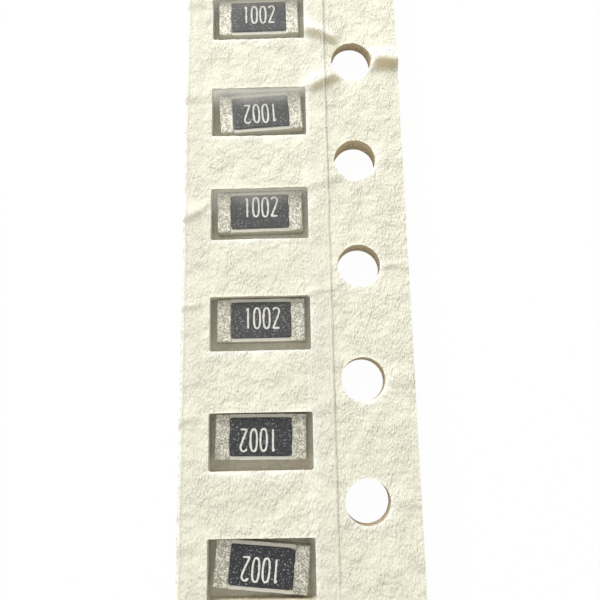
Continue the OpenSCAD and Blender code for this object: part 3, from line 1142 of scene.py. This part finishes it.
def alumina(finish):
    """Sintered alumina: white, matt, with a fracture grain of some 0.03 mm, drawn 0.05 mm."""
    material, add = new_material("sintered_alumina")
    grain = cloudy(add, 0.05, detail=3)
    tone = mottled(add, grain, 0.3, 0.7, finish.ceramic, 0.86)
    # Painted shade: a side of the plate is darker towards its foot, down in the pocket.
    upper = above(add, UNDER_HIGH[2] + 0.1, UNDER_HIGH[2] + 0.48)
    tone = {0: upper, 6: shade(finish.ceramic, 0.6), 7: tone}
    tone = add("ShaderNodeMix", tone, 2, data_type="RGBA")
    rough_surface(add, tone, grain, 0.4, 0.008, Roughness=0.55, IOR=1.76)
    return material


def epoxy_overcoat(finish):
    """Overcoat: blue-black epoxy, half gloss. Its pale filler grains are some 0.01 mm across, and
    are drawn 0.06 mm in loose groups of 0.35 mm."""
    material, add = new_material("epoxy_overcoat")
    specks = cloudy(add, 0.06, detail=3)
    grains = add("ShaderNodeMapRange", {0: specks, 1: 0.56, 2: 0.68, 4: 0.85})
    groups = {0: cloudy(add, 0.35, detail=3), 1: 0.3, 2: 0.7, 3: 0.4}
    groups = add("ShaderNodeMapRange", groups)
    share = add("ShaderNodeMath", {0: grains, 1: groups}, operation="MULTIPLY")
    tone = {0: share, 6: finish.overcoat, 7: finish.overcoat_dust}
    tone = add("ShaderNodeMix", tone, 2, data_type="RGBA")
    rough_surface(add, tone, specks, 0.35, 0.006, Roughness=0.55, IOR=1.5)
    return material


def tin_plating(finish):
    """Matte tin over nickel: pale warm grey metal. Its plated grain is some 0.01 mm, and is drawn
    0.045 mm over lumps of 0.2 mm."""
    material, add = new_material("matte_tin_plating")
    grain = cloudy(add, 0.045, roughness=0.7)
    relief = {0: cloudy(add, 0.2), 1: 0.3, 2: grain}
    relief = add("ShaderNodeMath", relief, operation="MULTIPLY_ADD")
    tone = mottled(add, relief, 0.58, 0.74, finish.tin, 0.42)
    rough_surface(add, tone, relief, 0.6, 0.02, Metallic=1.0, Roughness=0.66)
    return material


def plain_print(name, tone, roughness):
    """Printed ink or fired paste: one tone with an uneven dusting, drawn 0.06 mm."""
    material, add = new_material(name)
    tone = mottled(add, cloudy(add, 0.06), 0.35, 0.65, tone, 0.78)
    shader = add("ShaderNodeBsdfPrincipled", {"Base Color": tone, "Roughness": roughness})
    add("ShaderNodeOutputMaterial", {"Surface": shader})
    return material


def table_top(finish):
    """Pale matt table top, which the camera and mirror rays see as near white apart from the
    shadow."""
    material, add = new_material("white_table_top")
    matt = add("ShaderNodeBsdfPrincipled", {"Base Color": finish.floor, "Roughness": 0.8})
    glow = add("ShaderNodeEmission", {"Color": WHITE, "Strength": 1.0})
    seen = add("ShaderNodeLightPath", output="Is Camera Ray")
    for kind in ("Is Glossy Ray", "Is Transmission Ray"):
        other = add("ShaderNodeLightPath", output=kind)
        seen = add("ShaderNodeMath", {0: seen, 1: other}, operation="MAXIMUM")
    share = add("ShaderNodeMath", {0: seen, 1: 0.97}, operation="MULTIPLY")
    top = add("ShaderNodeMixShader", {0: share, 1: matt, 2: glow})
    add("ShaderNodeOutputMaterial", {"Surface": top})
    return material


# ---- Operators ----


class CARRIER_OT_punched_carrier(bpy.types.Operator):
    """Build the punched paper carrier"""

    bl_idname = "carrier.punched_carrier"
    bl_label = "Punched carrier"

    def execute(self, context):
        scene = context.scene
        build_carrier(scene.carrier_tape, paperboard(scene.carrier_finishes))
        return {"FINISHED"}


class CARRIER_OT_bottom_tape(bpy.types.Operator):
    """Build the thin tape under the pockets"""

    bl_idname = "carrier.bottom_tape"
    bl_label = "Bottom tape"

    def execute(self, context):
        scene = context.scene
        build_bottom(scene.carrier_tape, kraft_tissue(scene.carrier_finishes))
        return {"FINISHED"}


class CARRIER_OT_cover_film(bpy.types.Operator):
    """Build the clear cover film"""

    bl_idname = "carrier.cover_film"
    bl_label = "Cover film"

    def execute(self, context):
        scene = context.scene
        build_film(scene.carrier_tape, polyester_film(scene.carrier_finishes))
        return {"FINISHED"}


class CARRIER_OT_chips(bpy.types.Operator):
    """Build every chip: plate, terminations, overcoat and marking"""

    bl_idname = "carrier.chips"
    bl_label = "Chip resistors"

    def execute(self, context):
        scene = context.scene
        chip = scene.carrier_chip
        finish = scene.carrier_finishes
        ceramic = alumina(finish)
        tin = tin_plating(finish)
        coat = epoxy_overcoat(finish)
        ink = plain_print("white_epoxy_ink", finish.ink, 0.6)
        paste = plain_print("fired_ruthenium_paste", finish.element, 0.5)
        for number in range(1, CHIP_COUNT + 1):
            build_plate(number, chip, ceramic)
            for end in (-1, 1):
                build_plating(number, end, chip, tin)
            build_coat(number, chip, coat)
            build_marking(number, chip, ink)
            element = frame["nodes"][f"chip_{number}_resistive_element"]
            for slot in element.material_slots:
                slot.material = paste
        return {"FINISHED"}


# Places of the lamp, the camera and the point that it looks at, in mm, and its turn in degrees.
LAMP_PLACE = (-48, 90, 56)
CAMERA_PLACE = (0.27, -5.63, 21.99)
CAMERA_AIM = (0.15, -1.21, 0.81)
CAMERA_ROLL = -1.1
# How far the floor reaches from the middle, and how far it lies under the strip, in mm.
FLOOR_REACH = 400.0
FLOOR_DROP = 0.01


class CARRIER_OT_stage(bpy.types.Operator):
    """Build the floor, the light and the camera"""

    bl_idname = "carrier.stage"
    bl_label = "Stage"

    def execute(self, context):
        scene = context.scene
        stage = scene.carrier_stage
        corners = np.array([[-1, -1, 0], [1, -1, 0], [1, 1, 0], [-1, 1, 0]])
        points = corners * FLOOR_REACH - np.array([0, 0, FLOOR_DROP])
        faces = [np.arange(4)[None, :]]
        floor = add_piece("floor", points, faces, table_top(scene.carrier_finishes))

        world = bpy.data.worlds.new("studio")
        world.use_nodes = True
        world.node_tree.nodes.clear()
        add = partial(add_node, world.node_tree)
        sky = {"Color": (1.0, 0.985, 0.95, 1), "Strength": stage.sky_level}
        sky = add("ShaderNodeBackground", sky)
        white = add("ShaderNodeBackground", {"Color": WHITE, "Strength": 1.0})
        camera_ray = add("ShaderNodeLightPath", output="Is Camera Ray")
        seen = add("ShaderNodeMixShader", {0: camera_ray, 1: sky, 2: white})
        add("ShaderNodeOutputWorld", {"Surface": seen})
        scene.world = world

        lamp = bpy.data.lights.new("soft_lamp", "AREA")
        lamp.energy = stage.lamp_power
        lamp.shape = "SQUARE"
        lamp.size = stage.lamp_size
        holder = bpy.data.objects.new("soft_lamp", lamp)
        holder.location = Vector(LAMP_PLACE) * MM
        aim = Vector((0, 0, 0)) - holder.location
        holder.rotation_euler = aim.to_track_quat("-Z", "Y").to_euler()
        scene.collection.objects.link(holder)

        lens = bpy.data.cameras.new("camera")
        lens.lens = stage.lens
        lens.sensor_width = 36.0
        lens.clip_start = 0.5 * MM
        lens.clip_end = 10.0
        camera = bpy.data.objects.new("camera", lens)
        camera.location = Vector(CAMERA_PLACE) * MM
        look = (Vector(CAMERA_AIM) * MM - camera.location).normalized()
        right = look.cross(Vector((0, 1, 0))).normalized()
        axes = Matrix((right, right.cross(look), -look)).transposed()
        axes = axes @ Matrix.Rotation(math.radians(CAMERA_ROLL), 3, "Z")
        camera.rotation_euler = axes.to_euler()
        scene.collection.objects.link(camera)
        scene.camera = camera
        scene.view_settings.view_transform = "Standard"
        return {"FINISHED"}


class CARRIER_PT_panel(bpy.types.Panel):
    """Lists the strip's pieces, sizes and colours"""

    bl_idname = "CARRIER_PT_panel"
    bl_label = "Carrier tape"
    bl_space_type = "VIEW_3D"
    bl_region_type = "UI"
    bl_category = "Carrier tape"

    def draw(self, context):
        scene = context.scene
        for operator in OPERATORS:
            self.layout.operator(operator.bl_idname)
        for group_name in GROUPS:
            group = getattr(scene, group_name)
            box = self.layout.box()
            for name in group.__annotations__:
                box.prop(group, name)


OPERATORS = (
    CARRIER_OT_punched_carrier,
    CARRIER_OT_bottom_tape,
    CARRIER_OT_cover_film,
    CARRIER_OT_chips,
    CARRIER_OT_stage,
)
GROUPS = {
    "carrier_tape": TapeSizes,
    "carrier_chip": ChipSizes,
    "carrier_finishes": Finishes,
    "carrier_stage": StageSettings,
}


def register():
    for cls in (*GROUPS.values(), *OPERATORS, CARRIER_PT_panel):
        bpy.utils.register_class(cls)
    for name, group in GROUPS.items():
        setattr(bpy.types.Scene, name, bpy.props.PointerProperty(type=group))


def unregister():
    for name in GROUPS:
        delattr(bpy.types.Scene, name)
    for cls in (CARRIER_PT_panel, *reversed(OPERATORS), *reversed(GROUPS.values())):
        bpy.utils.unregister_class(cls)


def main():
    register()
    bpy.ops.carrier.punched_carrier()
    bpy.ops.carrier.bottom_tape()
    bpy.ops.carrier.cover_film()
    bpy.ops.carrier.chips()
    bpy.ops.carrier.stage()


if __name__ == "__main__":
    main()
